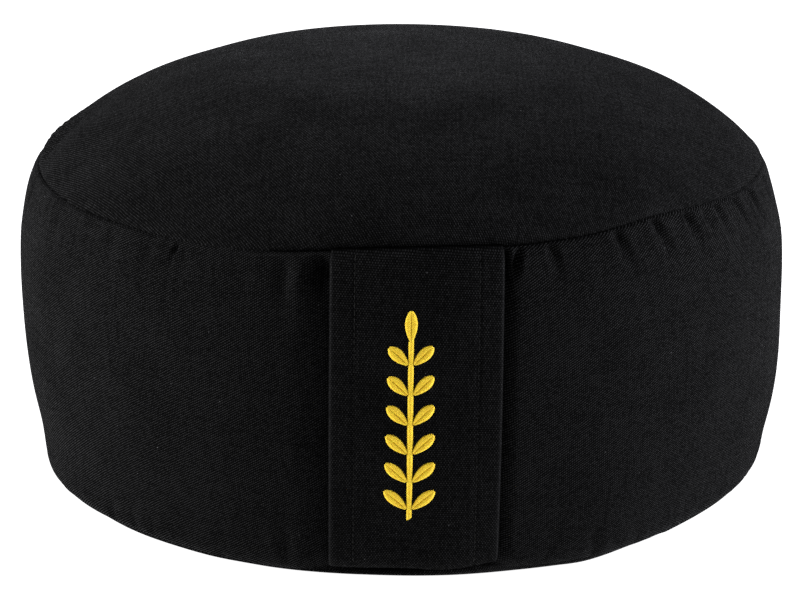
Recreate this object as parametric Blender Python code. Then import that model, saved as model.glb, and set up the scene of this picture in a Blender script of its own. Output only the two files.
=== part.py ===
"""Round filled cushion with a crowned top, a gathered side band and a carry strap sewn down its front.

Metres, +Z up. The origin is the centre of the flat face that the cushion rests on. The strap is on
the -Y side. Angles round the cushion are in degrees from the front (-Y), positive towards +X.
"""

import math
from collections import namedtuple

import bmesh
import bpy
import numpy as np

# Driving dimensions of the cushion
TOP_SEAM_RADIUS = 0.165
TOP_SEAM_HEIGHT = 0.1482
BOTTOM_SEAM_RADIUS = 0.1632
BOTTOM_SEAM_HEIGHT = 0.0092
CROWN_HEIGHT = 0.0453
CROWN_POWER = 3.47
BAND_BULGE = 0.0111
BAND_ROUNDNESS = 0.646
BOTTOM_CURL = 0.022
SEAM_GROOVE = 0.0016

# How high the cloth stands up beside a gather, against the gather's depth
GATHER_RIDGE = 0.5
# How much of a gather's depth pulls the crown's edge down, and how fast that fades towards its middle
CROWN_PULL = 0.5
CROWN_PULL_FADE = 2.0
# Power with which a rise of the top seam fades towards the crown's middle
CROWN_LIFT_POWER = 3

# Driving dimensions of the strap
STRAP_WIDTH = 0.071
STRAP_THICKNESS = 0.0024
STRAP_TOP_OFFSET = 0.0068
STRAP_BOTTOM_OFFSET = 0.0046
STRAP_PROUD = 0.0009
STRAP_TUCK = 0.0013
# Shares of the band's height: the strap's ends stop this far from the seams, and dip in over this much
STRAP_END = 0.022
STRAP_DIP = 0.066
STRAP_COLUMNS = 12
STRAP_ROWS = 20

# The band lies pressed in behind the strap
RECESS_DEPTH = 0.0026
RECESS_EDGE = 0.006

# Columns round the cushion, and its rings as shares of the way across or down each panel
COLUMNS = 144
CROWN_RINGS = (0.2, 0.4, 0.58, 0.72, 0.83, 0.91, 0.965)
BAND_RINGS = (0.02, 0.06, 0.12, 0.2, 0.3, 0.42, 0.56, 0.7, 0.82, 0.91, 0.97)
CURL_RINGS = (0.35, 0.7)

# Under this distance two points are one
TINY = 1e-5

# One row for each gather under the top seam. Depth, width and length are in metres, and lean is how
# far the gather's foot moves sideways, in metres, towards +X when positive.
Gather = namedtuple("Gather", "angle depth width length lean")
GATHERS = (
    Gather(-64.0, 0.0016, 0.0060, 0.028, -0.002),
    Gather(-57.5, 0.0012, 0.0060, 0.030, -0.001),
    Gather(-49.0, 0.0016, 0.0070, 0.026, 0.001),
    Gather(-35.3, 0.0034, 0.0062, 0.024, -0.005),
    Gather(-26.0, 0.0008, 0.0080, 0.030, -0.002),
    Gather(-17.3, 0.0024, 0.0064, 0.034, -0.001),
    Gather(-11.8, 0.0040, 0.0060, 0.036, -0.001),
    Gather(16.0, 0.0040, 0.0060, 0.036, -0.004),
    Gather(23.4, 0.0026, 0.0064, 0.028, -0.003),
    Gather(34.2, 0.0030, 0.0060, 0.022, 0.004),
    Gather(42.7, 0.0030, 0.0060, 0.026, 0.005),
    Gather(47.6, 0.0026, 0.0056, 0.022, 0.006),
    Gather(55.7, 0.0020, 0.0060, 0.028, 0.003),
    Gather(65.6, 0.0018, 0.0062, 0.026, 0.002),
    Gather(77.0, 0.0014, 0.0070, 0.030, -0.002),
    Gather(89.0, 0.0024, 0.0062, 0.024, 0.003),
    Gather(104.0, 0.0016, 0.0070, 0.034, 0.001),
    Gather(113.0, 0.0028, 0.0060, 0.022, -0.003),
    Gather(131.0, 0.0014, 0.0080, 0.030, 0.002),
    Gather(142.0, 0.0030, 0.0060, 0.026, 0.004),
    Gather(157.0, 0.0020, 0.0064, 0.024, -0.002),
    Gather(171.0, 0.0012, 0.0080, 0.036, 0.001),
    Gather(-175.0, 0.0028, 0.0060, 0.024, -0.004),
    Gather(-159.0, 0.0018, 0.0066, 0.028, 0.002),
    Gather(-144.0, 0.0012, 0.0080, 0.032, -0.001),
    Gather(-134.0, 0.0028, 0.0060, 0.022, -0.004),
    Gather(-119.0, 0.0018, 0.0064, 0.030, 0.003),
    Gather(-103.0, 0.0026, 0.0060, 0.024, -0.002),
    Gather(-90.0, 0.0014, 0.0070, 0.028, 0.001),
    Gather(-77.0, 0.0022, 0.0062, 0.022, -0.003),
)

# One row for each shallow fold that rises from the bottom seam, with the same columns
LOW_FOLDS = (
    Gather(-50.5, 0.0020, 0.0080, 0.024, 0.002),
    Gather(-38.0, 0.0012, 0.0090, 0.020, -0.002),
    Gather(-17.0, 0.0022, 0.0070, 0.034, 0.001),
    Gather(29.0, 0.0010, 0.0090, 0.022, 0.002),
    Gather(52.0, 0.0014, 0.0080, 0.024, -0.002),
    Gather(81.0, 0.0016, 0.0090, 0.028, 0.002),
    Gather(118.0, 0.0012, 0.0080, 0.022, -0.001),
    Gather(149.0, 0.0018, 0.0080, 0.026, 0.002),
    Gather(-168.0, 0.0012, 0.0090, 0.024, -0.002),
    Gather(-126.0, 0.0018, 0.0080, 0.028, 0.001),
    Gather(-84.0, 0.0014, 0.0090, 0.022, 0.002),
)

# Slow swells round the band: waves round the cushion, size in metres, and phase in degrees
Swell = namedtuple("Swell", "waves size phase")
BAND_SWELLS = (
    Swell(2, 0.0007, 35.0),
    Swell(3, 0.0006, 160.0),
    Swell(5, 0.0005, 80.0),
    Swell(9, 0.0003, 20.0),
)

# One row for each place where the top seam runs higher or lower than its plain circle, in metres
SeamPlace = namedtuple("SeamPlace", "angle lift")
SEAM_LINE = (
    SeamPlace(-160.0, 0.0004),
    SeamPlace(-130.0, 0.0006),
    SeamPlace(-100.0, -0.0008),
    SeamPlace(-75.0, -0.0018),
    SeamPlace(-45.0, -0.0023),
    SeamPlace(-28.0, -0.0039),
    SeamPlace(-13.0, -0.0010),
    SeamPlace(2.0, 0.0014),
    SeamPlace(16.0, 0.0004),
    SeamPlace(27.0, 0.0012),
    SeamPlace(40.0, 0.0048),
    SeamPlace(52.0, 0.0030),
    SeamPlace(70.0, 0.0012),
    SeamPlace(100.0, 0.0003),
    SeamPlace(140.0, -0.0006),
)
# The seam's line is evened out over this many degrees either way
SEAM_EVENING = np.linspace(-6, 6, 7)


def smooth(value):
    """0 below 0, 1 above 1, and an even curve between."""
    value = min(max(value, 0.0), 1.0)
    return value * value * (3 - 2 * value)


def swell(angle):
    return sum(row.size * math.cos(math.radians(row.waves * angle + row.phase)) for row in BAND_SWELLS)


def seam_lift(angle):
    angles = [place.angle for place in SEAM_LINE]
    lifts = [place.lift for place in SEAM_LINE]
    return float(np.interp(angle + SEAM_EVENING, angles, lifts, period=360).mean())


def band_height(down):
    """Height at a share of the way down the band, 0 at the top seam and 1 at the bottom seam."""
    return TOP_SEAM_HEIGHT + (BOTTOM_SEAM_HEIGHT - TOP_SEAM_HEIGHT) * down


def band_radius(down):
    taper = TOP_SEAM_RADIUS + (BOTTOM_SEAM_RADIUS - TOP_SEAM_RADIUS) * down
    return taper + BAND_BULGE * (4 * down * (1 - down)) ** BAND_ROUNDNESS


def strap_centre(down):
    return STRAP_TOP_OFFSET + (STRAP_BOTTOM_OFFSET - STRAP_TOP_OFFSET) * down


def fold_depth(rows, angle, distance, radius):
    """How far the gathers in these rows draw the cloth in, at a distance from their seam."""
    drawn = 0.0
    for row in rows:
        if distance >= row.length:
            continue
        fade = 1 - smooth(distance / row.length)
        turn = (angle - row.angle + 180) % 360 - 180
        across = math.radians(turn) * radius - row.lean * distance / row.length
        share = across / row.width
        drawn += row.depth * fade * (1 - GATHER_RIDGE * share * share) * math.exp(-share * share / 2)
    return drawn


def recess(angle, down, radius):
    """How far the band is pressed in behind the strap."""
    across = abs(math.radians(angle) * radius - strap_centre(down))
    return RECESS_DEPTH * (1 - smooth((across - STRAP_WIDTH / 2) / RECESS_EDGE))


def cushion_profile():
    """Radius and height of the turned outline, from the crown's middle down to the flat base's middle."""
    points = [(0.0, TOP_SEAM_HEIGHT + CROWN_HEIGHT)]
    for share in CROWN_RINGS:
        rise = CROWN_HEIGHT * (1 - share ** CROWN_POWER)
        points.append((TOP_SEAM_RADIUS * share, TOP_SEAM_HEIGHT + rise))
    points.append((TOP_SEAM_RADIUS - SEAM_GROOVE, TOP_SEAM_HEIGHT))
    for down in BAND_RINGS:
        points.append((band_radius(down), band_height(down)))
    points.append((BOTTOM_SEAM_RADIUS - SEAM_GROOVE, BOTTOM_SEAM_HEIGHT))
    for share in CURL_RINGS:
        turn = share * math.pi / 2
        inwards = BOTTOM_CURL * (1 - math.cos(turn))
        points.append((BOTTOM_SEAM_RADIUS - inwards, BOTTOM_SEAM_HEIGHT * (1 - math.sin(turn))))
    points.append((BOTTOM_SEAM_RADIUS - BOTTOM_CURL, 0.0))
    points.append((0.0, 0.0))
    return points


def shaped(point):
    """Where a point of the turned outline goes once the cloth is gathered and the filling has settled."""
    x, y, z = point
    radius = math.hypot(x, y)
    if z < TINY or radius < TINY:
        return point
    angle = math.degrees(math.atan2(x, -y))
    down = (TOP_SEAM_HEIGHT - z) / (TOP_SEAM_HEIGHT - BOTTOM_SEAM_HEIGHT)
    lift = seam_lift(angle)
    if down < 0:
        share = radius / TOP_SEAM_RADIUS
        drop = CROWN_PULL * fold_depth(GATHERS, angle, (TOP_SEAM_RADIUS - radius) * CROWN_PULL_FADE, radius)
        return x, y, z + lift * share ** CROWN_LIFT_POWER - drop
    inside = min(down, 1.0)
    belly = math.sin(math.pi * inside)
    from_top = TOP_SEAM_HEIGHT - z
    from_bottom = abs(z - BOTTOM_SEAM_HEIGHT)
    shift = swell(angle) * belly
    shift -= fold_depth(GATHERS, angle, from_top, radius)
    off_floor = smooth(z / BOTTOM_SEAM_HEIGHT)
    shift -= fold_depth(LOW_FOLDS, angle, from_bottom, radius) * off_floor
    shift -= recess(angle, inside, radius) * off_floor
    scale = 1 + shift / radius
    return x * scale, y * scale, z + lift * (1 - inside)


def strap_point(across, down):
    """Middle of the strap's thickness, at a distance across from its centre line."""
    radius = band_radius(down)
    angle = (strap_centre(down) + across) / radius
    tuck = STRAP_TUCK * (1 - smooth(min(down, 1 - down) / STRAP_DIP))
    reach = radius + STRAP_PROUD - tuck
    height = band_height(down) + seam_lift(math.degrees(angle)) * (1 - down)
    return reach * math.sin(angle), -reach * math.cos(angle), height


def canvas(name, colour, roughness):
    material = bpy.data.materials.new(name)
    material.use_nodes = True
    shader = material.node_tree.nodes["Principled BSDF"]
    shader.inputs["Base Color"].default_value = (*colour, 1)
    shader.inputs["Roughness"].default_value = roughness
    shader.inputs["Metallic"].default_value = 0
    material.diffuse_color = (*colour, 1)
    return material


def add_object(name, shape, material):
    mesh = bpy.data.meshes.new(name)
    shape.to_mesh(mesh)
    shape.free()
    mesh.materials.append(material)
    mesh.shade_smooth()
    piece = bpy.data.objects.new(name, mesh)
    bpy.context.scene.collection.objects.link(piece)
    return piece


def make_cushion():
    shape = bmesh.new()
    outline = [shape.verts.new((0, -radius, height)) for radius, height in cushion_profile()]
    edges = [shape.edges.new(pair) for pair in zip(outline, outline[1:])]
    bmesh.ops.spin(
        shape,
        geom=outline + edges,
        cent=(0, 0, 0),
        axis=(0, 0, 1),
        angle=math.tau,
        steps=COLUMNS,
        use_merge=True,
    )
    bmesh.ops.remove_doubles(shape, verts=shape.verts, dist=TINY)
    for vert in shape.verts:
        vert.co = shaped(vert.co)
    bmesh.ops.recalc_face_normals(shape, faces=shape.faces)
    return add_object("cushion", shape, canvas("cushion canvas", (0.013, 0.013, 0.014), 0.85))


def make_strap():
    shape = bmesh.new()
    bmesh.ops.create_grid(shape, x_segments=STRAP_COLUMNS, y_segments=STRAP_ROWS, size=0.5)
    for vert in shape.verts:
        down = STRAP_END + (1 - 2 * STRAP_END) * (0.5 - vert.co.y)
        vert.co = strap_point(vert.co.x * STRAP_WIDTH, down)
    strap = add_object("carry_strap", shape, canvas("strap canvas", (0.010, 0.010, 0.011), 0.85))
    doubled = strap.modifiers.new("doubled cloth", "SOLIDIFY")
    doubled.thickness = STRAP_THICKNESS
    doubled.offset = 0
    doubled.use_even_offset = True
    return strap


for old in list(bpy.data.objects):
    bpy.data.objects.remove(old, do_unlink=True)
make_cushion()
make_strap()
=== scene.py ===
"""Looks of a round meditation cushion: black canvas cover, gathered side band, carry strap and stitching.

Metres, +Z up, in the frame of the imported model. The strap is on the -Y side. Angles round the cushion
are in degrees from the front (-Y), positive towards +X.
"""

import math
from collections import namedtuple

import bpy
import numpy as np
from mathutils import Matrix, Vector


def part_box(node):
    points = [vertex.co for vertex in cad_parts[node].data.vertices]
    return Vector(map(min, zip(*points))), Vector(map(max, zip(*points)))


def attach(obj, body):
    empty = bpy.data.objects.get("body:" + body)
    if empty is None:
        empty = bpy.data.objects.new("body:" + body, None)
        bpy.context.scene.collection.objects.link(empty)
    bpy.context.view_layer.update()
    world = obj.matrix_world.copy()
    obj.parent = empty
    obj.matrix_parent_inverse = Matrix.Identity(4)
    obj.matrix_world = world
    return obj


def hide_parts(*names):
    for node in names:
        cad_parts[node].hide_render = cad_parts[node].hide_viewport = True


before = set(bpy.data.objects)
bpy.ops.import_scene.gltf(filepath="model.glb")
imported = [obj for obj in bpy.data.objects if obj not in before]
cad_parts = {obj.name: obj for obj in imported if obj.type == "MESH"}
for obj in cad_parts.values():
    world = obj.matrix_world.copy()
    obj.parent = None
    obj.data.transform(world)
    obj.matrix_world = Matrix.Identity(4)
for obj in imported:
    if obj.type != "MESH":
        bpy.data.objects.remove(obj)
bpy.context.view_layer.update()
scene = bpy.context.scene
floor_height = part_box("cushion")[0].z

# Side view of the cushion. Crown: share of the way from its middle to the seam, and rise over the seam.
# Band: share of the way down from the top seam to the bottom seam, and radius.
TOP_SEAM_HEIGHT = 0.1474
BOTTOM_SEAM_HEIGHT = 0.0055
CROWN_SHAPE = (
    (0.0, 0.0455), (0.30, 0.0449), (0.50, 0.0424), (0.65, 0.0347), (0.76, 0.0282),
    (0.85, 0.0208), (0.92, 0.0127), (0.97, 0.0054), (1.0, 0.0),
)
BAND_SHAPE = (
    (0.0, 0.1659), (0.04, 0.1680), (0.10, 0.1707), (0.20, 0.1739), (0.32, 0.1751), (0.46, 0.1751),
    (0.60, 0.1746), (0.72, 0.1731), (0.82, 0.1708), (0.90, 0.1681), (0.96, 0.1655), (1.0, 0.1612),
)
TOP_SEAM_RADIUS = BAND_SHAPE[0][1]
BOTTOM_SEAM_RADIUS = BAND_SHAPE[-1][1]
BAND_CLOTH_HEIGHT = 0.1520

# Sizes of the strap
STRAP_WIDTH = 0.0714
STRAP_THICKNESS = 0.0024
STRAP_TOP_OFFSET = 0.0072
STRAP_BOTTOM_OFFSET = 0.0056
STRAP_PROUD = 0.0010
STRAP_CUT_LENGTH = 0.150
STRAP_TOP_TURN = 0.0042
STRAP_LOW_TURN = 0.0030
STRAP_TURN_REACH = 0.0016
STRAP_EDGE_ROUNDING = 0.0012
STRAP_PUFF = 0.00018
CHANNEL_DEPTH = 0.0004
CHANNEL_REACH = 0.0007
# How much the strap's lower end is lifted, at places across it
HEM_LIFT = (
    (-0.036, 0.0026), (-0.020, 0.0020), (0.0, 0.0012), (0.013, 0.0003), (0.025, 0.0014), (0.036, 0.0030),
)

# The band lies pressed in behind the strap
RECESS_DEPTH = 0.0042
RECESS_LEFT_SLOPE = 0.024
RECESS_RIGHT_SLOPE = 0.010
RECESS_HEAD_START = 0.3
RECESS_TOP_FADE = 0.009
RECESS_LOW_FADE = 0.003

# Cloth. Mean yarn is how much of it shows where the weave is pressed smooth.
WARP_PITCH = 0.00096
WEFT_PITCH = 0.000575
GRAIN_LEAN = 0.07
MEAN_YARN = 0.28
LINT_CELLS = 210.0
LINT_RARITY = 0.965
STITCH_PITCH = 0.0030
HEM_STITCH_PLACE = 0.0106

# The cushion's net: cells from rim to rim of each round panel, and the band's rows below the top seam
PANEL_CELLS = 56
COLUMNS = 8 * PANEL_CELLS
PANEL_CROWDING = 1.5
BAND_ROWS = (
    0.0, 0.0012, 0.0026, 0.0044, 0.0066, 0.0092, 0.0122, 0.0156, 0.0194, 0.0236, 0.0284, 0.0340, 0.0405,
    0.0480, 0.0560, 0.0640, 0.0720, 0.0800, 0.0880, 0.0955, 0.1025, 0.1090, 0.1150, 0.1205, 0.1254, 0.1296,
    0.1330, 0.1358, 0.1380, 0.1397, 0.1410, 0.1419,
)

# Folds that start at a seam: where, how deep and wide, where deepest, how long, and how far their end leans
Fold = namedtuple("Fold", "angle depth width start length lean")
GATHERS = (
    Fold(-66.0, 0.0006, 0.0026, 0.003, 0.020, 0.004),
    Fold(-55.6, 0.0005, 0.0026, 0.004, 0.024, 0.003),
    Fold(-46.5, 0.0017, 0.0034, 0.006, 0.020, 0.000),
    Fold(-38.4, 0.0014, 0.0032, 0.005, 0.018, -0.002),
    Fold(-33.3, 0.0040, 0.0010, 0.003, 0.009, -0.003),
    Fold(-34.1, 0.0008, 0.0013, 0.010, 0.034, 0.000),
    Fold(-16.3, 0.0017, 0.0034, 0.007, 0.026, 0.001),
    Fold(-11.2, 0.0110, 0.0038, 0.0090, 0.020, 0.001),
    Fold(17.3, 0.0068, 0.0013, 0.004, 0.014, -0.005),
    Fold(15.1, 0.0052, 0.0009, 0.003, 0.024, -0.001),
    Fold(21.4, 0.0016, 0.0022, 0.002, 0.019, 0.005),
    Fold(32.2, 0.0021, 0.0024, 0.002, 0.022, 0.007),
    Fold(39.1, 0.0022, 0.0024, 0.002, 0.022, 0.010),
    Fold(46.1, 0.0022, 0.0024, 0.002, 0.022, 0.008),
    Fold(50.2, 0.0010, 0.0020, 0.002, 0.016, 0.006),
    Fold(53.9, 0.0021, 0.0023, 0.002, 0.020, 0.008),
    Fold(60.0, 0.0022, 0.0024, 0.002, 0.021, 0.010),
    Fold(66.5, 0.0021, 0.0024, 0.002, 0.020, 0.010),
    Fold(77.0, 0.0010, 0.0030, 0.005, 0.028, -0.002),
    Fold(89.0, 0.0019, 0.0022, 0.004, 0.024, 0.005),
    Fold(95.0, 0.0012, 0.0022, 0.003, 0.020, 0.005),
    Fold(104.0, 0.0009, 0.0032, 0.005, 0.028, 0.001),
    Fold(113.0, 0.0021, 0.0020, 0.004, 0.022, -0.005),
    Fold(118.0, 0.0013, 0.0022, 0.003, 0.020, -0.006),
    Fold(131.0, 0.0008, 0.0036, 0.006, 0.028, 0.002),
    Fold(142.0, 0.0021, 0.0021, 0.004, 0.024, 0.006),
    Fold(148.5, 0.0015, 0.0021, 0.003, 0.020, 0.007),
    Fold(157.0, 0.0010, 0.0028, 0.004, 0.022, -0.002),
    Fold(171.0, 0.0008, 0.0038, 0.006, 0.032, 0.001),
    Fold(-175.0, 0.0020, 0.0020, 0.004, 0.022, -0.006),
    Fold(-168.5, 0.0013, 0.0022, 0.003, 0.020, -0.007),
    Fold(-159.0, 0.0011, 0.0028, 0.004, 0.026, 0.002),
    Fold(-144.0, 0.0008, 0.0036, 0.006, 0.030, -0.001),
    Fold(-134.0, 0.0021, 0.0020, 0.004, 0.023, -0.007),
    Fold(-119.0, 0.0011, 0.0028, 0.004, 0.028, 0.003),
    Fold(-103.0, 0.0017, 0.0022, 0.004, 0.024, -0.005),
    Fold(-90.0, 0.0009, 0.0032, 0.005, 0.026, 0.001),
    Fold(-77.0, 0.0012, 0.0024, 0.004, 0.022, -0.003),
)
LOW_FOLDS = (
    Fold(-50.0, 0.0016, 0.0022, 0.003, 0.018, 0.006),
    Fold(-45.0, 0.0013, 0.0022, 0.003, 0.017, 0.006),
    Fold(-41.0, 0.0011, 0.0024, 0.003, 0.015, 0.005),
    Fold(-17.0, 0.0014, 0.0030, 0.006, 0.034, 0.003),
    Fold(30.4, 0.0012, 0.0030, 0.003, 0.020, -0.008),
    Fold(38.0, 0.0009, 0.0030, 0.003, 0.018, -0.006),
    Fold(52.0, 0.0009, 0.0034, 0.004, 0.022, -0.002),
    Fold(81.0, 0.0012, 0.0030, 0.004, 0.022, 0.002),
    Fold(118.0, 0.0009, 0.0034, 0.004, 0.020, -0.001),
    Fold(149.0, 0.0014, 0.0030, 0.004, 0.022, 0.002),
    Fold(-168.0, 0.0009, 0.0034, 0.004, 0.020, -0.002),
    Fold(-126.0, 0.0014, 0.0030, 0.004, 0.024, 0.001),
    Fold(-84.0, 0.0011, 0.0034, 0.004, 0.020, 0.002),
)
# Slack in the top panel near its seam, the same way
CROWN_FOLDS = (
    Fold(-81.0, -0.0020, 0.0026, 0.006, 0.040, -0.034),
    Fold(-86.0, -0.0018, 0.0024, 0.006, 0.038, -0.034),
    Fold(-91.0, -0.0014, 0.0024, 0.006, 0.034, -0.030),
    Fold(-66.0, 0.0005, 0.0050, 0.008, 0.030, 0.004),
    Fold(60.0, 0.0005, 0.0040, 0.006, 0.026, -0.006),
    Fold(72.0, -0.0006, 0.0040, 0.006, 0.028, -0.008),
    Fold(118.0, 0.0006, 0.0045, 0.007, 0.030, 0.004),
    Fold(-122.0, -0.0007, 0.0040, 0.007, 0.032, 0.006),
    Fold(-165.0, 0.0005, 0.0050, 0.008, 0.034, -0.004),
    Fold(155.0, -0.0006, 0.0044, 0.007, 0.030, 0.005),
)
FOLD_PINCH = 0.25
FOLD_LIP = 0.26

# Broad swells of the filling round the band
Swell = namedtuple("Swell", "waves size phase")
BAND_SWELLS = (
    Swell(3, 0.0003, 160.0),
    Swell(5, 0.0003, 80.0),
    Swell(9, 0.0002, 20.0),
)

# Places where the filling stands out or has sunk: angle, share of the way down, how far, and how wide
Push = namedtuple("Push", "angle down out spread reach")
BAND_PUSHES = (
    Push(-95.0, 0.74, -0.0021, 50.0, 0.26),
    Push(-92.0, 0.33, -0.0006, 50.0, 0.28),
    Push(-92.0, 0.84, -0.0010, 40.0, 0.08),
    Push(95.0, 0.74, 0.0018, 50.0, 0.26),
    Push(92.0, 0.24, 0.0008, 50.0, 0.24),
    Push(-88.0, 0.06, 0.0008, 40.0, 0.12),
    Push(88.0, 0.06, -0.0007, 40.0, 0.12),
    Push(-67.0, 0.96, 0.0028, 16.0, 0.08),
    Push(-96.0, 0.95, -0.0018, 20.0, 0.06),
    Push(68.0, 0.97, 0.0024, 18.0, 0.07),
    Push(34.0, 0.98, 0.0014, 14.0, 0.08),
)
CROWN_TILT = 0.0003
LOW_SEAM_LIFT = (
    (-180.0, 0.0004), (-110.0, 0.0), (-62.0, 0.0), (-40.0, -0.0006), (-26.0, -0.0014), (-18.0, -0.0018),
    (-10.0, -0.0013), (0.0, 0.0), (8.0, -0.0001), (14.0, -0.0004), (21.0, -0.0015), (27.0, -0.0019),
    (33.0, -0.0018), (39.0, -0.0014),
    (50.0, 0.0), (110.0, 0.0002), (180.0, 0.0004),
)

# How far out the bottom panel lies flat, at angles round the cushion
FLAT_EDGE = (
    (-180.0, 0.1493), (-60.0, 0.1493), (-46.0, 0.1496), (-38.0, 0.1476), (-29.0, 0.1478), (-24.0, 0.1444),
    (-19.0, 0.1442), (-9.0, 0.1472), (0.0, 0.1500), (9.0, 0.1512), (14.0, 0.1513), (19.0, 0.1516),
    (24.0, 0.1532), (29.0, 0.1568), (34.0, 0.1545), (40.0, 0.1488), (46.0, 0.1478), (60.0, 0.1485),
    (180.0, 0.1493),
)

# The top seam all round: how much higher it runs than a level circle, and how deep it sinks
SeamPlace = namedtuple("SeamPlace", "angle lift sink")
SEAM_LINE = (
    SeamPlace(-160.0, 0.0004, 0.0018),
    SeamPlace(-130.0, 0.0006, 0.0016),
    SeamPlace(-100.0, -0.0004, 0.0020),
    SeamPlace(-76.0, -0.0014, 0.0021),
    SeamPlace(-66.0, -0.0019, 0.0022),
    SeamPlace(-57.0, -0.0023, 0.0021),
    SeamPlace(-48.0, -0.0023, 0.0018),
    SeamPlace(-39.0, -0.0030, 0.0013),
    SeamPlace(-30.0, -0.0039, 0.0006),
    SeamPlace(-24.0, -0.0037, 0.0005),
    SeamPlace(-18.7, -0.0028, 0.0016),
    SeamPlace(-14.0, -0.0015, 0.0034),
    SeamPlace(-10.0, -0.0005, 0.0042),
    SeamPlace(-3.0, 0.0005, 0.0042),
    SeamPlace(3.0, 0.0010, 0.0042),
    SeamPlace(10.0, 0.0008, 0.0040),
    SeamPlace(15.0, 0.0003, 0.0042),
    SeamPlace(18.0, 0.0002, 0.0036),
    SeamPlace(22.0, 0.0006, 0.0026),
    SeamPlace(26.6, 0.0007, 0.0022),
    SeamPlace(32.0, 0.0020, 0.0020),
    SeamPlace(40.0, 0.0043, 0.0018),
    SeamPlace(45.6, 0.0037, 0.0016),
    SeamPlace(51.0, 0.0029, 0.0015),
    SeamPlace(61.0, 0.0014, 0.0015),
    SeamPlace(76.0, 0.0010, 0.0016),
    SeamPlace(100.0, 0.0003, 0.0018),
    SeamPlace(140.0, -0.0006, 0.0017),
)

# How the cloth settles on its filling, and how much of its moves is kept
REST_HEIGHT = 0.004
SETTLE_FRAMES = 20
SETTLE_CAP = 0.0015
BROAD_WAVES = 14
PANEL_SETTLING = 0.2
BAND_SETTLING = 0.35
CLOTH_SETTINGS = {
    "quality": 5,
    "mass": 0.3,
    "tension_stiffness": 20.0,
    "compression_stiffness": 20.0,
    "shear_stiffness": 8.0,
    "bending_stiffness": 0.3,
    "shrink_min": -0.03,
    "use_pressure": True,
    "uniform_pressure_force": 4.0,
}

# How far and which way the seams sink. The bottom seam sinks most under the strap.
SEAM_EVENING = 2.5
SEAM_REACH = 0.0004
SEAM_REACH_BY_SINK = 0.18
SEAM_INWARD = 0.92
SEAM_DOWNWARD = 0.38
LOW_SEAM_SINK = 0.0024
LOW_SEAM_REACH = 0.0010
LOW_GAP_ANGLE = -1.0
LOW_GAP_SPREAD = 9.5
CROWN_LIFT_POWER = 3

# Shade in the seams, folds and hollows
SEAM_SHADE_REACH = 0.00045
STRAP_SHADE_REACH = 0.0011
LEAST_SHADE_SINK = 0.0009
FULL_SHADE_SINK = 0.0021
LOW_GAP_REACH = 0.0032
CREASE_SHADE = 0.42
CREASE_DEPTH = 0.0022
HOLLOW_START = 0.0024
HOLLOW_DEPTH = 0.0030

# A painted highlight on the band just under the top seam, where a ridge would catch light, strongest round
# one angle
RIDGE_PLACE = 0.0016
RIDGE_REACH = 0.0005
RIDGE_ANGLE = -17.0
RIDGE_SPREAD = 9.0
RIDGE_LEAST = 0.05
RIDGE_PEAK = 0.35

# Painted highlights on creased corners beside the strap's lower end: angle, spread and strength
LOW_CORNERS = ((15.2, 2.6, 0.55), (-17.5, 3.0, 0.40))
LOW_CORNER_REACH = 0.0036

# Where use has pressed the weave smooth
CROWN_WEAR = 0.6
SIDE_WEAR = 0.4
SIDE_WEAR_START = 50.0
SIDE_WEAR_SPAN = 30.0

# Camera, fitted to the outline and the seams of the photograph, 800 by 600 pixels
PHOTO_WIDTH = 800
FOCAL_PIXELS = 2873.0
SENSOR_MM = 36.0
CAMERA_DISTANCE = 1.341
CAMERA_ELEVATION = 16.75
CAMERA_AIM = Vector((0.0, 0.0, 0.0763))


# Shapes of the cloth

def smooth(value):
    value = np.clip(value, 0.0, 1.0)
    return value * value * (3 - 2 * value)


def even_curve(table, at):
    """A smooth curve through a table's rows of place and value, read at any places between its ends."""
    places, values = np.array(table).T
    slopes = np.gradient(values, places)
    row = np.clip(np.searchsorted(places, at, side="right") - 1, 0, len(places) - 2)
    span = places[row + 1] - places[row]
    t = np.clip((at - places[row]) / span, 0.0, 1.0)
    rise = smooth(t)
    start_bend = t * (1 - t) ** 2 * span * slopes[row]
    end_bend = t ** 2 * (1 - t) * span * slopes[row + 1]
    return values[row] * (1 - rise) + values[row + 1] * rise + start_bend - end_bend


def round_seam(field, angle):
    """A measure of the top seam at an angle in degrees, evened out between the places in its table."""
    angles = [place.angle for place in SEAM_LINE]
    values = [getattr(place, field) for place in SEAM_LINE]
    steps = np.linspace(-SEAM_EVENING, SEAM_EVENING, 7)
    return np.mean([np.interp(angle + step, angles, values, period=360) for step in steps], axis=0)


def band_height(down):
    return TOP_SEAM_HEIGHT + (BOTTOM_SEAM_HEIGHT - TOP_SEAM_HEIGHT) * down


def seam_lifts(angle, down):
    """How much higher the band's cloth runs than on level seams."""
    return round_seam("lift", angle) * (1 - down) + even_curve(LOW_SEAM_LIFT, angle) * down ** 4


def band_radius(down):
    return even_curve(BAND_SHAPE, down)


def strap_centre(down):
    return STRAP_TOP_OFFSET + (STRAP_BOTTOM_OFFSET - STRAP_TOP_OFFSET) * down


def turned_from(angle, other):
    """Degrees from one angle to another by the shorter way round."""
    return (angle - other + 180) % 360 - 180


def recess(angle, down, radius):
    """How far the band is pressed in behind the strap."""
    across = np.radians(angle) * radius - strap_centre(down)
    slope = np.where(across < 0, RECESS_LEFT_SLOPE, RECESS_RIGHT_SLOPE)
    beyond = np.abs(across) - STRAP_WIDTH / 2
    return RECESS_DEPTH * (1 - smooth(beyond / slope + RECESS_HEAD_START))


def ring_point(radius, angle, height):
    turn = np.radians(angle)
    return np.stack([radius * np.sin(turn), -radius * np.cos(turn), height], axis=-1)


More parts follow.
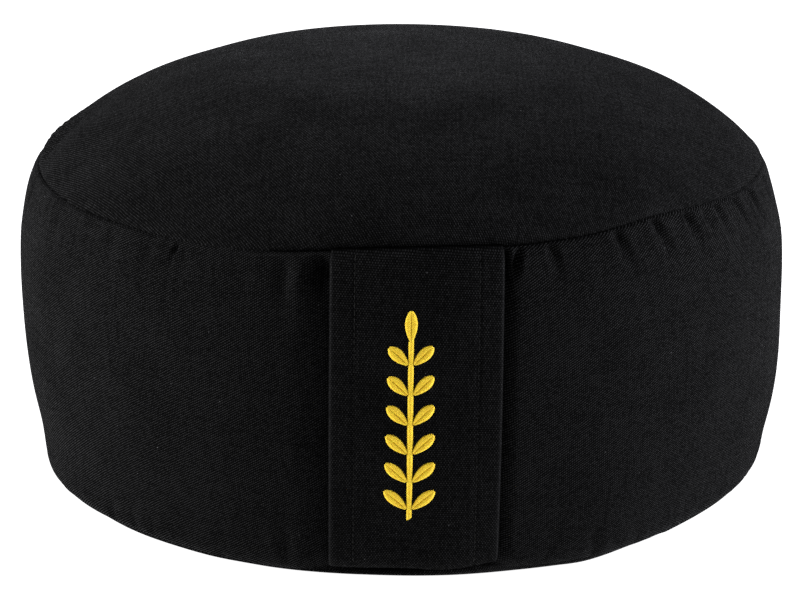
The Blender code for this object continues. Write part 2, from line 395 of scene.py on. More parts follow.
def crown_points(share, angle):
    """Points of the top panel, at a share of the way from its middle to the seam."""
    height = TOP_SEAM_HEIGHT + even_curve(CROWN_SHAPE, share)
    height += round_seam("lift", angle) * share ** CROWN_LIFT_POWER
    height += CROWN_TILT * np.sin(np.radians(angle)) * share ** 2 * (1 - share ** 12)
    return ring_point(TOP_SEAM_RADIUS * share, angle, height)


def band_points(down, angle):
    """Points of the side band, at a share of the way down from the top seam to the bottom seam."""
    swell = sum(row.size * np.cos(np.radians(row.waves * angle + row.phase)) for row in BAND_SWELLS)
    radius = band_radius(down) + swell * np.sin(np.pi * down)
    for push in BAND_PUSHES:
        far = (turned_from(angle, push.angle) / push.spread) ** 2 + ((down - push.down) / push.reach) ** 2
        radius += push.out * np.exp(-far)
    return ring_point(radius, angle, band_height(down) + seam_lifts(angle, down))


def base_points(share, angle):
    """Points of the bottom panel: flat where it rests, and curled up to its seam."""
    flat_edge = even_curve(FLAT_EDGE, angle)
    radius = BOTTOM_SEAM_RADIUS * share
    curl = np.clip((radius - flat_edge) / (BOTTOM_SEAM_RADIUS - flat_edge), 0.0, 1.0)
    seam_height = BOTTOM_SEAM_HEIGHT + even_curve(LOW_SEAM_LIFT, angle)
    return ring_point(radius, angle, seam_height * curl ** 2)


def unit_disc(cells):
    """A square net laid over a round panel: share of the way out and angle of each of its points."""
    steps = np.linspace(-1, 1, cells + 1)
    a, b = np.meshgrid(steps, steps, indexing="ij")
    wide = np.abs(a) >= np.abs(b)
    far = np.where(wide, a, b)
    near = np.where(wide, b, a)
    turn = 45.0 * np.divide(near, far, out=np.zeros_like(near), where=far != 0)
    angle = np.where(wide, turn, 90.0 - turn) + np.where(far < 0, 180.0, 0.0)
    return 1 - (1 - np.abs(far)) ** PANEL_CROWDING, (angle + 180) % 360 - 180


# Meshes

def deselect_all():
    if bpy.context.object and bpy.context.object.mode != "OBJECT":
        bpy.ops.object.mode_set(mode="OBJECT")
    bpy.ops.object.select_all(action="DESELECT")


def link_mesh(name, points, faces, material):
    mesh = bpy.data.meshes.new(name)
    mesh.from_pydata([tuple(point) for point in points], [], faces)
    mesh.materials.append(material)
    mesh.shade_smooth()
    piece = bpy.data.objects.new(name, mesh)
    scene.collection.objects.link(piece)
    return piece


def use_only(piece):
    deselect_all()
    piece.select_set(True)
    bpy.context.view_layer.objects.active = piece


def apply_modifier(piece, modifier):
    use_only(piece)
    bpy.ops.object.modifier_apply(modifier=modifier.name)


def points_of(mesh):
    points = np.empty(len(mesh.vertices) * 3)
    mesh.vertices.foreach_get("co", points)
    return points.reshape(-1, 3)


def set_points(mesh, points):
    mesh.vertices.foreach_set("co", points.astype(np.float32).ravel())
    mesh.update()


def write_cloth_map(mesh, places):
    """Keeps where each face corner lies on its cut piece of cloth, in metres, for the weave to follow."""
    layer = mesh.uv_layers.get("cloth") or mesh.uv_layers.new(name="cloth")
    layer.data.foreach_set("uv", np.asarray(places, dtype=np.float32).ravel())


def read_cloth_map(mesh):
    places = np.empty(len(mesh.loops) * 2, dtype=np.float32)
    mesh.uv_layers["cloth"].data.foreach_get("uv", places)
    return places.reshape(-1, 2)


def write_share(mesh, name, shares):
    """Keeps a number from 0 to 1 at each point: how much painted shade, painted highlight or smoothing the
    materials show there.
    """
    layer = mesh.attributes.new(name, "FLOAT", "POINT")
    layer.data.foreach_set("value", np.asarray(shares, dtype=np.float32).ravel())


def net_faces(number, flip=False):
    """Faces of a net whose points are numbered by this table."""
    a, b = number[:-1, :-1], number[1:, :-1]
    c, d = number[1:, 1:], number[:-1, 1:]
    corners = (a, d, c, b) if flip else (a, b, c, d)
    return np.stack(corners, axis=-1).reshape(-1, 4)


# Materials

class Wire:
    """One output of a material's nodes, written into sums as if it were a number."""

    def __init__(self, finish, socket):
        self.finish = finish
        self.socket = socket

    def out(self, name):
        return Wire(self.finish, self.socket.node.outputs[name])

    def maths(self, operation, *values):
        return self.finish.maths(operation, *values)

    def __add__(self, other):
        return self.maths("ADD", self, other)

    def __radd__(self, other):
        return self.maths("ADD", other, self)

    def __sub__(self, other):
        return self.maths("SUBTRACT", self, other)

    def __rsub__(self, other):
        return self.maths("SUBTRACT", other, self)

    def __mul__(self, other):
        return self.maths("MULTIPLY", self, other)

    def __rmul__(self, other):
        return self.maths("MULTIPLY", other, self)

    def __truediv__(self, other):
        return self.maths("DIVIDE", self, other)

    def __mod__(self, other):
        return self.maths("FLOORED_MODULO", self, other)

    def clamped(self):
        return self.finish.node("ShaderNodeClamp", {}, {"Value": self})


class Finish:
    """A material under construction."""

    def __init__(self, name):
        self.material = bpy.data.materials.new(name)
        self.material.use_nodes = True
        self.tree = self.material.node_tree
        self.tree.nodes.clear()

    def node(self, kind, settings=None, values=None, output=0):
        made = self.tree.nodes.new(kind)
        for key, value in (settings or {}).items():
            setattr(made, key, value)
        for key, value in (values or {}).items():
            if isinstance(value, Wire):
                self.tree.links.new(value.socket, made.inputs[key])
            else:
                made.inputs[key].default_value = value
        return Wire(self, made.outputs[output]) if made.outputs else made

    def maths(self, operation, *values):
        return self.node("ShaderNodeMath", {"operation": operation}, dict(enumerate(values)))

    def mix_colour(self, share, first, second):
        return self.node("ShaderNodeMix", {"data_type": "RGBA"}, {0: share, 6: first, 7: second}, 2)

    def noise(self, place, scale, detail=2.0):
        return self.node("ShaderNodeTexNoise", {}, {"Vector": place, "Scale": scale, "Detail": detail})

    def stretch(self, place, x, y):
        return self.node("ShaderNodeVectorMath", {"operation": "MULTIPLY"}, {0: place, 1: (x, y, 1.0)})

    def join(self, x, y, z=0.0):
        return self.node("ShaderNodeCombineXYZ", {}, {"X": x, "Y": y, "Z": z})

    def chance(self, place):
        """A number from 0 to 1 by chance for each whole place."""
        return self.node("ShaderNodeTexWhiteNoise", {"noise_dimensions": "2D"}, {"Vector": place})

    def bump(self, height, distance):
        return self.node("ShaderNodeBump", {}, {"Height": height, "Distance": distance})

    def attribute(self, name):
        return self.node("ShaderNodeAttribute", {"attribute_name": name}, {}, "Fac")

    def finished(self, shader):
        self.node("ShaderNodeOutputMaterial", {}, {"Surface": shader})
        return self.material

    def close(self, shader_values):
        return self.finished(self.node("ShaderNodeBsdfPrincipled", {}, shader_values))


def grey(value, tint=1.0):
    return (value, value, value * tint, 1.0)


def lint(finish, cloth):
    """Specks of pale lint caught here and there in the weave: how much of one is at each place."""
    cell = finish.node(
        "ShaderNodeTexVoronoi", {"voronoi_dimensions": "2D"}, {"Vector": cloth, "Scale": LINT_CELLS}
    )
    chosen = finish.node("ShaderNodeSeparateColor", {}, {"Color": cell.out("Color")})
    fibre = finish.noise(cloth, 900.0, 1.0)
    size = 0.030 + 0.10 * chosen.out("Green") * fibre
    there = finish.maths("GREATER_THAN", chosen, LINT_RARITY)
    return ((size - cell.out("Distance")) * 26.0).clamped() * there * (0.15 + 0.4 * chosen.out("Blue"))


def canvas(name, light, sheen, twist, contrast, weave_depth):
    """Plain-woven canvas: slanting floats over dark gaps, uneven threads, mottling and lint, with painted
    shade and painted highlights read from point shares.
    """
    finish = Finish(name)
    cloth = finish.node("ShaderNodeUVMap", {"uv_map": "cloth"})
    stray = finish.noise(cloth, 110.0, 3.0)
    place = finish.node("ShaderNodeSeparateXYZ", {}, {"Vector": cloth})
    weft_stray = finish.noise(finish.stretch(cloth, 90.0, 140.0), 1.0, 3.0)
    u = (place.out("X") - GRAIN_LEAN * place.out("Y")) / WARP_PITCH + 0.8 * (stray - 0.5)
    v = place.out("Y") / WEFT_PITCH + 1.0 * (weft_stray - 0.5)
    warp = finish.maths("FLOOR", u)
    weft = finish.maths("FLOOR", v)
    under = (warp + weft) % 2.0
    across_warp = finish.maths("FRACT", u) - 0.5
    across_weft = finish.maths("FRACT", v) - 0.5
    off_twist = across_warp + across_weft
    on_twist = across_warp - across_weft
    yarn = (1.0 - (2.2 + twist) * off_twist * off_twist - (2.2 - twist) * on_twist * on_twist).clamped()
    float_shade = finish.chance(finish.join(warp, weft))
    warp_shade = finish.noise(finish.join(warp * 0.41, place.out("Y") * 40.0), 1.0, 1.0)
    weft_shade = finish.noise(finish.join(place.out("X") * 40.0, weft * 0.41, 5.0), 1.0, 1.0)
    mottle = finish.noise(cloth, 30.0, 3.0)
    unevenness = (0.55 + 0.9 * float_shade) * (0.4 + 0.6 * (warp_shade + weft_shade)) * (0.6 + 0.8 * mottle)
    # Painted shade in the seams, folds and hollows, broken into dashes along the stitches
    painted_shade = finish.attribute("painted_shade")
    stitch = finish.maths("GREATER_THAN", finish.maths("FRACT", place.out("X") / STITCH_PITCH), 0.42)
    in_shade = painted_shade * (painted_shade + stitch * (1.0 - painted_shade))
    # Painted highlights along ridges, strap edges and corners, speckled by the weave
    speckled_highlight = finish.attribute("painted_highlight") * (0.25 + 0.75 * finish.noise(cloth, 1100.0, 1.0))
    specks = lint(finish, cloth)
    relief = contrast * (1.0 - finish.attribute("smoothed"))
    woven = unevenness * (relief * yarn * (1.0 - 0.8 * under) + MEAN_YARN * (1.0 - relief))
    # Painted highlights lighten the weave, and painted shade turns it into the dark gap shader
    shown = ((woven + 0.7 * speckled_highlight) * (1.0 - in_shade) + specks).clamped()
    thread = finish.node("ShaderNodeBsdfPrincipled", {}, {
        "Base Color": finish.mix_colour(specks, grey(light, 1.05), (0.13, 0.13, 0.135, 1.0)),
        "Roughness": 0.92 - 0.12 * woven,
        "Specular IOR Level": 0.05,
        "Sheen Weight": sheen,
        "Sheen Roughness": 0.34,
        "Sheen Tint": (0.93, 0.95, 1.0, 1.0),
        "Normal": finish.bump(yarn + 0.5 * float_shade, weave_depth),
    })
    # The dark gaps between threads, also used for the painted shade in seams, folds and hollows
    gap = finish.node("ShaderNodeBsdfPrincipled", {}, {
        "Base Color": grey(0.0006),
        "Roughness": 1.0,
        "Specular IOR Level": 0.0,
    })
    return finish.finished(finish.node("ShaderNodeMixShader", {}, {0: shown, 1: gap, 2: thread}))


def sewing_thread(name, dark, light, specular, twist):
    """Twisted thread, its ply showing as slanting light and dark."""
    finish = Finish(name)
    place = finish.node("ShaderNodeTexCoord", {}, {}, 3)
    ply = finish.node(
        "ShaderNodeTexWave",
        {"wave_type": "BANDS", "bands_direction": "DIAGONAL"},
        {"Vector": place, "Scale": twist, "Distortion": 1.5, "Detail": 1.0},
        1,
    )
    tone = finish.noise(place, 900.0, 2.0)
    share = (0.6 * ply + 0.7 * (tone - 0.2)).clamped()
    return finish.close({
        "Base Color": finish.mix_colour(share, dark, light),
        "Roughness": 0.62 - 0.12 * share,
        "Specular IOR Level": specular,
        "Sheen Weight": 0.05,
        "Normal": finish.bump(ply + 0.4 * tone, 0.00008),
    })


COVER_CANVAS = canvas("black cover canvas", 0.0132, 0.040, 1.4, 1.2, 0.00006)
STRAP_CANVAS = canvas("black strap canvas", 0.0143, 0.022, 0.1, 0.78, 0.00006)
BLACK_THREAD = sewing_thread("black sewing thread", grey(0.001), grey(0.0045), 0.06, 900.0)
GOLD_THREAD = sewing_thread(
    "golden embroidery thread", (0.78, 0.37, 0.003, 1.0), (1.0, 0.87, 0.040, 1.0), 0.40, 700.0
)


# Cushion

def join_to_seam(faces, column_of):
    """Gives faces that touch the rim their share of the band's seam points, so that no gap is left."""
    joined = []
    for face in faces.tolist():
        whole = []
        for corner, following in zip(face, face[1:] + face[:1]):
            whole.append(corner)
            here, there = column_of.get(corner), column_of.get(following)
            if here is not None and there is not None and here != there:
                step = (there - here + COLUMNS // 2) % COLUMNS - COLUMNS // 2
                whole.append(("seam", (here + step // 2) % COLUMNS))
        joined.append(whole)
    return joined


def panel_net(first_number, seam_numbers, flip):
    """Point places and faces of a round panel sewn to a ring of seam points."""
    share, angle = unit_disc(PANEL_CELLS)
    rim = share > 1 - 1e-9
    number = np.zeros(share.shape, dtype=int)
    number[~rim] = first_number + np.arange(np.count_nonzero(~rim))
    column = np.round(angle / 360 * COLUMNS).astype(int) % COLUMNS
    number[rim] = seam_numbers[column[rim]]
    column_of = dict(zip(number[rim].tolist(), column[rim].tolist()))
    faces = []
    for face in join_to_seam(net_faces(number, flip), column_of):
        faces.append([
            int(seam_numbers[corner[1]]) if isinstance(corner, tuple) else corner for corner in face
        ])
    return share[~rim], angle[~rim], faces


def make_cushion():
    """The cover's net of points, as one closed form: top panel, band and bottom panel."""
    column_angle = turned_from(np.arange(COLUMNS) * 360 / COLUMNS, 0.0)
    down = np.array(BAND_ROWS) / BAND_ROWS[-1]
    down_grid, angle_grid = np.meshgrid(down, column_angle, indexing="ij")
    band_number = np.arange(down_grid.size).reshape(down_grid.shape)
    top_share, top_angle, top_faces = panel_net(band_number.size, band_number[0], False)
    base_first = band_number.size + top_share.size
    base_share, base_angle, base_faces = panel_net(base_first, band_number[-1], True)
    band_faces = net_faces(np.hstack([band_number, band_number[:, :1]])).tolist()
    points = np.concatenate([
        band_points(down_grid.ravel(), angle_grid.ravel()),
        crown_points(top_share, top_angle),
        base_points(base_share, base_angle),
    ])
    width = math.tau * band_radius(0.4)
    row_place, column_place = np.meshgrid(
        down * BAND_CLOTH_HEIGHT, np.arange(COLUMNS + 1) / COLUMNS * width, indexing="ij"
    )
    band_places = np.stack([column_place.ravel(), row_place.ravel()], axis=-1)
    place_number = np.arange(column_place.size).reshape(column_place.shape)
    places = [band_places[net_faces(place_number).ravel()]]
    places += [points[face][:, [1, 0]] for face in top_faces + base_faces]
    cushion = link_mesh("cushion_cover", points, band_faces + top_faces + base_faces, COVER_CANVAS)
    write_cloth_map(cushion.data, np.concatenate(places))
    sharpen_seams(cushion.data, band_number)
    return cushion


def sharpen_seams(mesh, band_number):
    """Keeps both seams crisp when the net is made finer."""
    crease = mesh.attributes.new("crease_edge", "FLOAT", "EDGE")
    seam_points = set(band_number[0].tolist()) | set(band_number[-1].tolist())
    for edge in mesh.edges:
        if edge.vertices[0] in seam_points and edge.vertices[1] in seam_points:
            crease.data[edge.index].value = 1.0


def subdivide(piece):
    finer = piece.modifiers.new("finer", "SUBSURF")
    finer.levels = 1
    finer.render_levels = 1
    finer.uv_smooth = "NONE"
    apply_modifier(piece, finer)


def fold_moves(rows, angle, distance, radius):
    """Sideways and inward moves that the folds of one seam give the cloth, at a distance from the seam."""
    sideways = np.zeros_like(angle)
    inward = np.zeros_like(angle)
    for row in rows:
        across = np.radians(turned_from(angle, row.angle)) * radius - row.lean * distance / row.length
        width = row.width * (0.8 + 0.5 * distance / row.length)
        near = FOLD_PINCH * np.exp(-(across / width / 2.2) ** 2)
        along = (1 - np.exp(-(distance / row.start) ** 2)) * np.exp(-(distance / row.length / 0.62) ** 2)
        sideways -= across * near * along
        share = np.abs(across) * (1 - near * along) / width
        lip = np.exp(-((share - 2.0) / 0.9) ** 2)
        inward += row.depth * along * (np.exp(-share ** 2) - FOLD_LIP * lip)
    return sideways, inward


def settle_cover(cushion):
    """Lets the sewn cloth fill out under its filling, and keeps the small wrinkles that this gives it."""
    before = points_of(cushion.data)
    held = cushion.vertex_groups.new(name="held")
    down = np.array(BAND_ROWS)
    rings = np.arange(len(down) * COLUMNS).reshape(len(down), COLUMNS)
    held.add(rings[[0, -1]].ravel().tolist(), 1.0, "REPLACE")
    held.add(np.flatnonzero(before[:, 2] < REST_HEIGHT).tolist(), 1.0, "REPLACE")
    cloth = cushion.modifiers.new("settle", "CLOTH")
    for key, value in CLOTH_SETTINGS.items():
        setattr(cloth.settings, key, value)
    cloth.settings.vertex_group_mass = "held"
    cloth.settings.effector_weights.gravity = 0.0
    cloth.point_cache.frame_start = 1
    cloth.point_cache.frame_end = SETTLE_FRAMES
    for step in range(1, SETTLE_FRAMES + 1):
        scene.frame_set(step)
    apply_modifier(cushion, cloth)
    scene.frame_set(1)
    cushion.vertex_groups.clear()
    moves = points_of(cushion.data) - before
    band = moves[:rings.size].reshape(len(down), COLUMNS, 3)
    waves = np.fft.rfft(band, axis=1)
    waves[:, :BROAD_WAVES] = 0
    moves[:rings.size] = BAND_SETTLING * np.fft.irfft(waves, n=COLUMNS, axis=1).reshape(-1, 3)
    moves[rings.size:] *= PANEL_SETTLING
    length = np.linalg.norm(moves, axis=1, keepdims=True)
    capped = moves * np.minimum(1.0, SETTLE_CAP / np.maximum(length, 1e-9))
    set_points(cushion.data, before + capped)


def map_round_panels(mesh):
    """Lays the weave flat over both round panels, with lengths kept along lines out from their middle."""
    points = points_of(mesh)
    share = np.linspace(0, 1, 200)
    rise = even_curve(CROWN_SHAPE, share)
    steps = np.hypot(np.diff(share * TOP_SEAM_RADIUS), np.diff(rise))
    cloth_length = np.concatenate([[0.0], np.cumsum(steps)])
    radius = np.hypot(points[:, 0], points[:, 1])
    stretch = np.interp(radius / TOP_SEAM_RADIUS, share, cloth_length) / np.maximum(radius, 1e-6)
    # The warp runs across these panels, so the map's two ways change places there
    top_places = points[:, [1, 0]] * stretch[:, None]
    base_places = points[:, [1, 0]] + 0.7
    height = points[:, 2]
    angle = np.degrees(np.arctan2(points[:, 0], -points[:, 1]))
    on_top = height >= TOP_SEAM_HEIGHT + round_seam("lift", angle) - 1e-5
    on_base = height <= BOTTOM_SEAM_HEIGHT + even_curve(LOW_SEAM_LIFT, angle) + 1e-5
    places = read_cloth_map(mesh)
    for face in mesh.polygons:
        corners = list(face.vertices)
        if on_top[corners].all():
            places[face.loop_indices] = top_places[corners]
        elif on_base[corners].all():
            places[face.loop_indices] = base_places[corners]
    write_cloth_map(mesh, places)


def sew_cover(cushion):
    """Draws the cover in at its seams and folds, and behind the strap, and keeps painted shade and painted
    highlights for the materials.
    """
    points = points_of(cushion.data)
    angle = np.degrees(np.arctan2(points[:, 0], -points[:, 1]))
    radius = np.hypot(points[:, 0], points[:, 1])
    height = points[:, 2].copy()
    below_top = TOP_SEAM_HEIGHT + round_seam("lift", angle) - height
    above_low = height - BOTTOM_SEAM_HEIGHT - even_curve(LOW_SEAM_LIFT, angle)
    band = (below_top >= 0) & (above_low >= 0)
    from_top = np.where(below_top >= 0, below_top, np.hypot(below_top, TOP_SEAM_RADIUS - radius))
    from_low = np.where(above_low >= 0, above_low, np.hypot(above_low, BOTTOM_SEAM_RADIUS - radius))
    top_side, top_in = fold_moves(GATHERS, angle, from_top, radius)
    crown_side, crown_in = fold_moves(CROWN_FOLDS, angle, from_top, radius)
    crown = below_top < 0
    low_side, low_in = fold_moves(LOW_FOLDS, angle, from_low, radius)
    down = np.clip(below_top / (below_top + above_low), 0.0, 1.0)
    pressed = recess(angle, down, radius) * smooth(from_top / RECESS_TOP_FADE)
    pressed *= smooth(from_low / RECESS_LOW_FADE)
    sink = round_seam("sink", angle)
    sink *= np.exp(-from_top / (SEAM_REACH + SEAM_REACH_BY_SINK * sink))
    under_strap = np.exp(-((angle - LOW_GAP_ANGLE) / LOW_GAP_SPREAD) ** 2)
    low_reach = LOW_SEAM_REACH * (1 + 1.3 * under_strap)
    low_sink = LOW_SEAM_SINK * (0.4 + 1.6 * under_strap) * np.exp(-from_low / low_reach)
    moved = radius - SEAM_INWARD * (sink + low_sink) - band * (top_in + low_in + pressed) - crown * crown_in
    angle += np.degrees((band * (top_side + low_side) + crown * crown_side) / np.maximum(radius, 0.02))
    height += SEAM_DOWNWARD * (low_sink - sink) - crown * crown_in
    set_points(cushion.data, ring_point(moved, angle, height))
    # Painted shade: dark lines in the top seam and under the strap's lower end, and darkening in fold
    # hollows and creases
    shade_span = FULL_SHADE_SINK - LEAST_SHADE_SINK
    shade = np.clip((round_seam("sink", angle) - LEAST_SHADE_SINK) / shade_span, 0, 1)
    shade *= np.exp(-(from_top / SEAM_SHADE_REACH) ** 2)
    low_shade = np.exp(-(from_low / (LOW_SEAM_REACH + LOW_GAP_REACH * under_strap)) ** 4)
    low_shade *= 0.3 + 0.7 * under_strap
    hollow = np.clip((band * top_in - HOLLOW_START) / HOLLOW_DEPTH, 0, 1)
    crease = CREASE_SHADE * np.clip(band * (top_in + low_in) / CREASE_DEPTH, 0, 1)
    write_share(cushion.data, "painted_shade", np.maximum.reduce([shade, low_shade, hollow, crease]))
    # Painted highlights: a light line just under the top seam and light corners beside the strap's lower
    # end
    ridge = np.exp(-((from_top - RIDGE_PLACE) / RIDGE_REACH) ** 2) * band
    ridge *= RIDGE_LEAST + RIDGE_PEAK * np.exp(-(turned_from(angle, RIDGE_ANGLE) / RIDGE_SPREAD) ** 2)
    corners = np.zeros_like(angle)
    for place, spread, strength in LOW_CORNERS:
        corners += strength * np.exp(-(turned_from(angle, place) / spread) ** 2)
    corners *= np.exp(-(from_low / LOW_CORNER_REACH) ** 2)
    write_share(cushion.data, "painted_highlight", np.maximum(ridge * (1 - hollow), corners))
    sides = smooth((90 - np.abs(np.abs(angle) - 90) - SIDE_WEAR_START) / SIDE_WEAR_SPAN)
    sat_on = CROWN_WEAR * (1 - 0.5 * (radius / TOP_SEAM_RADIUS) ** 2)
    write_share(cushion.data, "smoothed", np.where(crown, sat_on, SIDE_WEAR * sides))


def finish_cushion():
    cushion = make_cushion()
    settle_cover(cushion)
    subdivide(cushion)
    map_round_panels(cushion.data)
    sew_cover(cushion)
    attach(cushion, "root")
    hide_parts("cushion")


# Strap

STRAP_COLUMNS = 96
STRAP_ROWS = 120


def strap_point(across, down, lift):
    """A point on the strap: across from its middle line, a share of the way down, lifted off mid-cloth."""
    radius = band_radius(down)
    angle = (strap_centre(down) + across) / radius
    height = band_height(down)
    from_top = TOP_SEAM_HEIGHT - height
    from_low = height - BOTTOM_SEAM_HEIGHT
    turned = STRAP_TOP_TURN * np.exp(-from_top / STRAP_TURN_REACH)
    turned += STRAP_LOW_TURN * np.exp(-from_low / STRAP_TURN_REACH)
    height += seam_lifts(np.degrees(angle), down)
    height += even_curve(HEM_LIFT, across) * smooth(2 * down - 1)
    return ring_point(radius + STRAP_PROUD - turned + lift, np.degrees(angle), height)


def stitch_channel(across):
    """How far the hem's stitches draw the strap's faces in at a distance from its middle line."""
    from_stitches = STRAP_WIDTH / 2 - np.abs(across) - HEM_STITCH_PLACE
    return CHANNEL_DEPTH * np.exp(-(from_stitches / CHANNEL_REACH) ** 2)


def make_strap():
    across = np.linspace(-STRAP_WIDTH / 2, STRAP_WIDTH / 2, STRAP_COLUMNS + 1)
    down = 0.5 - 0.5 * np.cos(np.linspace(0, np.pi, STRAP_ROWS + 1))
    down_grid, across_grid = np.meshgrid(down, across, indexing="ij")
    from_edge = STRAP_WIDTH / 2 - np.abs(across_grid)
    inwards = np.clip(from_edge / STRAP_EDGE_ROUNDING, 0, 1)
    rounded = np.sqrt(np.clip(1 - (1 - inwards) ** 2, 0, 1))
    half = STRAP_THICKNESS / 2 * (0.10 + 0.90 * rounded) - stitch_channel(across_grid)
    puffed = STRAP_PUFF * np.sin(across_grid * 90.0 + 1.0) * np.sin(down_grid * 9.0)
    outer = strap_point(across_grid, down_grid, half + puffed)
    inner = strap_point(across_grid, down_grid, -half + puffed)
    count = down_grid.size
    outer_number = np.arange(count).reshape(down_grid.shape)
    faces = [net_faces(outer_number, True), net_faces(outer_number + count)]
    for edge in (outer_number[0, :], outer_number[:, -1], outer_number[-1, ::-1], outer_number[::-1, 0]):
        other = edge + count
        faces.append(np.stack([edge[:-1], edge[1:], other[1:], other[:-1]], axis=-1))
    points = np.concatenate([outer.reshape(-1, 3), inner.reshape(-1, 3)])
    faces = np.concatenate(faces)
    # The strap's cloth is cut the other way of the weave from the band's
    places = np.stack([down_grid.ravel() * STRAP_CUT_LENGTH, across_grid.ravel()], axis=-1)
    places = np.concatenate([places, places + 0.3])
    strap = link_mesh("carry_strap_cloth", points, faces.tolist(), STRAP_CANVAS)
    write_cloth_map(strap.data, places[faces].reshape(-1, 2))
    # Painted highlight along both edges of the strap, half as strong on its inner face
    painted_highlight = 0.75 * np.exp(-(from_edge.ravel() / 0.0013) ** 2)
    write_share(strap.data, "painted_highlight", np.concatenate([painted_highlight, 0.5 * painted_highlight]))
    # Painted shade where the strap's top end goes into the seam
    from_top = down_grid.ravel() * (TOP_SEAM_HEIGHT - BOTTOM_SEAM_HEIGHT)
    shade = np.exp(-(from_top / STRAP_SHADE_REACH) ** 2)
    write_share(strap.data, "painted_shade", np.concatenate([shade, shade]))
    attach(strap, "root")
    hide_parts("carry_strap")
    return strap


# Threads: one is modelled, then laid along each stitch's path

THREAD_SIDES = 5
THREAD_STEPS = 5


def model_thread():
    """Points and faces of one straight thread of radius 1, from -1 to 1 along Z."""
    deselect_all()
    bpy.ops.mesh.primitive_cylinder_add(vertices=THREAD_SIDES, radius=1.0, depth=2.0)
    thread = bpy.context.object
    bpy.ops.object.mode_set(mode="EDIT")
    for place in np.linspace(-1, 1, THREAD_STEPS + 1)[1:-1]:
        bpy.ops.mesh.select_all(action="SELECT")
        bpy.ops.mesh.bisect(plane_co=(0, 0, place), plane_no=(0, 0, 1))
    bpy.ops.object.mode_set(mode="OBJECT")
    points = points_of(thread.data)
    faces = [list(face.vertices) for face in thread.data.polygons]
    bpy.data.meshes.remove(thread.data)
    return points, faces


def lay_threads(name, paths, normals, radius, material):
    """Copies of the thread laid along paths, given as an array of threads by points by 3."""
    points, faces = model_thread()
    along = np.gradient(paths, axis=1)
    along /= np.linalg.norm(along, axis=-1, keepdims=True)
    sideways = np.cross(along, normals)
    sideways /= np.linalg.norm(sideways, axis=-1, keepdims=True)
    upward = np.cross(sideways, along)
    step = np.round((points[:, 2] + 1) / 2 * THREAD_STEPS).astype(int)
    thick = radius * np.sqrt(np.clip(1.06 - points[:, 2] ** 4, 0.06, 1.0))
    laid = paths[:, step] + sideways[:, step] * (points[:, 0] * thick)[None, :, None]
    laid += upward[:, step] * (points[:, 1] * thick)[None, :, None]
    every = []
    for thread in range(len(paths)):
        every += [[corner + thread * len(points) for corner in face] for face in faces]
    piece = link_mesh(name, laid.reshape(-1, 3), every, material)
    use_only(piece)
    bpy.ops.object.mode_set(mode="EDIT")
    bpy.ops.mesh.select_all(action="SELECT")
    bpy.ops.mesh.normals_make_consistent(inside=False)
    bpy.ops.object.mode_set(mode="OBJECT")
    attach(piece, "root")
    return piece


def strap_normals(across, down):
    here = strap_point(across, down, 0.0)
    out = strap_point(across, down, 0.001)
    return (out - here) / 0.001


TOPSTITCH_RADIUS = 0.00020
TOPSTITCH_SINK = 0.00045
TOPSTITCH_ARCH = 0.00016
TOPSTITCH_HALF = 0.43
TOPSTITCH_MARGIN = 0.004


def make_topstitching():
    paths = []
    normals = []
    length = TOP_SEAM_HEIGHT - BOTTOM_SEAM_HEIGHT
    share = np.linspace(-1, 1, THREAD_STEPS + 1)
    for side in (-1, 1):
        across = side * (STRAP_WIDTH / 2 - HEM_STITCH_PLACE) + 0.0 * share
        for place in np.arange(0.0035 + side * 0.0004, length - TOPSTITCH_MARGIN, STITCH_PITCH):
            down = (place + share * TOPSTITCH_HALF * STITCH_PITCH) / length
            lift = STRAP_THICKNESS / 2 - TOPSTITCH_SINK + TOPSTITCH_ARCH * (1 - share ** 2)
            paths.append(strap_point(across, down, lift))
            normals.append(strap_normals(across, down))
    return lay_threads(
        "strap_topstitching",
        np.array(paths),
        np.array(normals),
        TOPSTITCH_RADIUS,
        BLACK_THREAD,
    )


# The embroidered sprig: its middle is a share of the way down the strap
SPRIG_MIDDLE = 0.484
SPRIG_OFFSET = -0.0023
SPRIG_LENGTH = 0.0910
LEAF_PAIRS = 6
LEAF_LENGTH = 0.0125
LEAF_WIDTH = 0.0050
LEAF_SLOPE = 46.0
STEM_WIDTH = 0.0024
SATIN_PITCH = 0.00036
SATIN_RADIUS = 0.00023
SATIN_HEIGHT = 0.00055
SATIN_OVERLAP = 0.0002


def satin_leaf(base_x, base_y, slope, length, width):
    """Ends of the threads that fill one leaf, from its middle line out to both edges, on the flat strap."""
    turn = math.radians(slope)
    axis = np.array([math.sin(turn), math.cos(turn)])
    across = np.array([math.cos(turn), -math.sin(turn)])
    ends = []
    steps = int(length / SATIN_PITCH)
    for side in (-1, 1):
        for step in range(1, steps):
            share = step / steps
            half = width / 2 * math.sin(math.pi * share ** 0.85) ** 0.75 + SATIN_OVERLAP
            middle = np.array([base_x, base_y]) + axis * length * share
            edge = middle + side * across * half + axis * half * 0.7
            ends.append((middle - side * across * SATIN_OVERLAP, edge))
    return ends


def sprig_ends():
    ends = []
    half = SPRIG_LENGTH / 2
    pitch = (SPRIG_LENGTH - LEAF_LENGTH) / (LEAF_PAIRS + 0.15)
    for pair in range(LEAF_PAIRS):
        y = -half + pitch * (pair + 0.35)
        for side in (-1, 1):
            length = LEAF_LENGTH * (1 - 0.03 * pair)
            ends += satin_leaf(side * STEM_WIDTH * 0.45, y, side * LEAF_SLOPE, length, LEAF_WIDTH)
    ends += satin_leaf(0.0, half - LEAF_LENGTH * 1.05, 0.0, LEAF_LENGTH, LEAF_WIDTH)
    for y in np.arange(-half, half - LEAF_LENGTH, SATIN_PITCH):
        slant = STEM_WIDTH * 0.35
        ends.append((np.array([-STEM_WIDTH / 2, y - slant]), np.array([STEM_WIDTH / 2, y + slant])))
    return np.array(ends)


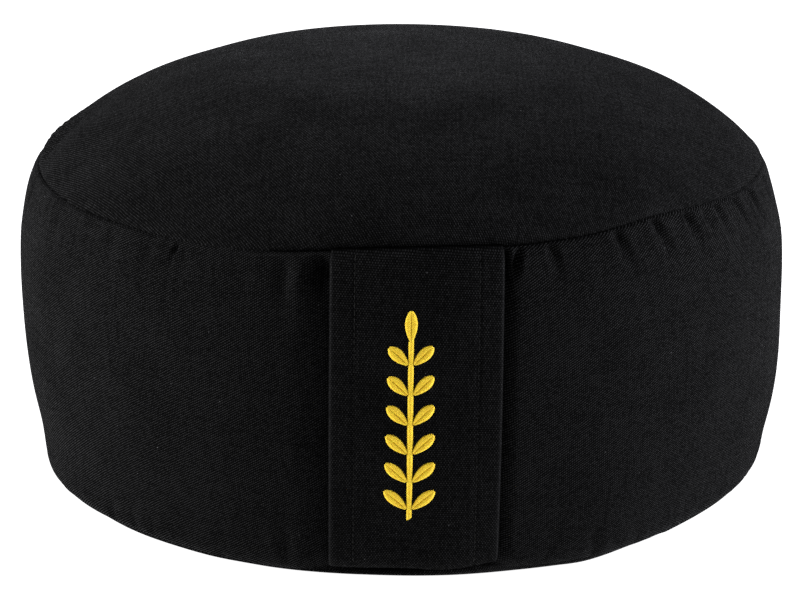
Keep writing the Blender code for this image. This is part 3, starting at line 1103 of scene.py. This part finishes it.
def make_sprig():
    ends = sprig_ends()
    share = np.linspace(0, 1, THREAD_STEPS + 1)
    flat = ends[:, None, 0] * (1 - share)[None, :, None] + ends[:, None, 1] * share[None, :, None]
    across = flat[..., 0] + SPRIG_OFFSET
    down = SPRIG_MIDDLE - flat[..., 1] / (TOP_SEAM_HEIGHT - BOTTOM_SEAM_HEIGHT)
    arch = SATIN_HEIGHT * np.sin(np.pi * share) ** 0.6
    lift = STRAP_THICKNESS / 2 - 0.0001 + arch[None, :]
    paths = strap_point(across, down, lift)
    normals = strap_normals(across, down)
    return lay_threads("embroidered_sprig", paths, normals, SATIN_RADIUS, GOLD_THREAD)


# Studio. The floor gives off as much light as makes it white in the picture.

FLOOR_SIZE = 14.0
FLOOR_GREY = 0.3
FLOOR_GLOW = 1.0


def add_floor():
    deselect_all()
    bpy.ops.mesh.primitive_plane_add(size=FLOOR_SIZE, location=(0, 0, floor_height))
    floor = bpy.context.object
    floor.name = "studio_floor"
    finish = Finish("pale floor")
    floor.data.materials.append(finish.close({
        "Base Color": grey(FLOOR_GREY),
        "Roughness": 0.9,
        "Specular IOR Level": 0.1,
        "Emission Color": grey(1.0),
        "Emission Strength": FLOOR_GLOW,
    }))


Softbox = namedtuple("Softbox", "name place width depth power colour")
SOFTBOXES = (
    Softbox("top_softbox", (0.0, 1.5, 1.8), 1.6, 1.2, 33.0, (0.96, 0.96, 1.02)),
    Softbox("left_softbox", (-2.2, -0.1, 0.7), 1.0, 1.0, 112.0, (1.0, 1.0, 1.0)),
    Softbox("right_softbox", (2.2, -0.1, 0.7), 1.0, 1.0, 108.0, (0.95, 0.96, 1.01)),
)
SOFTBOX_AIM = Vector((0, 0, 0.08))
WORLD_STRENGTH = 0.30


def add_softbox(box):
    lamp = bpy.data.lights.new(box.name, "AREA")
    lamp.shape = "RECTANGLE"
    lamp.size = box.width
    lamp.size_y = box.depth
    lamp.energy = box.power
    lamp.color = box.colour
    holder = bpy.data.objects.new(box.name, lamp)
    holder.location = box.place
    holder.rotation_euler = (SOFTBOX_AIM - Vector(box.place)).to_track_quat("-Z", "Y").to_euler()
    scene.collection.objects.link(holder)


def add_studio():
    world = bpy.data.worlds.new("white studio")
    scene.world = world
    world.use_nodes = True
    background = world.node_tree.nodes["Background"]
    background.inputs["Color"].default_value = (1.0, 1.0, 1.0, 1.0)
    background.inputs["Strength"].default_value = WORLD_STRENGTH
    for box in SOFTBOXES:
        add_softbox(box)


def add_camera():
    camera = bpy.data.cameras.new("camera")
    camera.sensor_width = SENSOR_MM
    camera.lens = FOCAL_PIXELS * SENSOR_MM / PHOTO_WIDTH
    holder = bpy.data.objects.new("camera", camera)
    slope = math.radians(CAMERA_ELEVATION)
    back = Vector((0, -math.cos(slope), math.sin(slope)))
    holder.location = CAMERA_AIM + back * CAMERA_DISTANCE
    holder.rotation_euler = (-back).to_track_quat("-Z", "Y").to_euler()
    scene.collection.objects.link(holder)
    scene.camera = holder


add_camera()
add_studio()
add_floor()
scene.view_settings.view_transform = "Standard"
scene.cycles.use_denoising = False
scene.cycles.sample_clamp_indirect = 0.3
finish_cushion()
strap = make_strap()
topstitching = make_topstitching()
sprig = make_sprig()
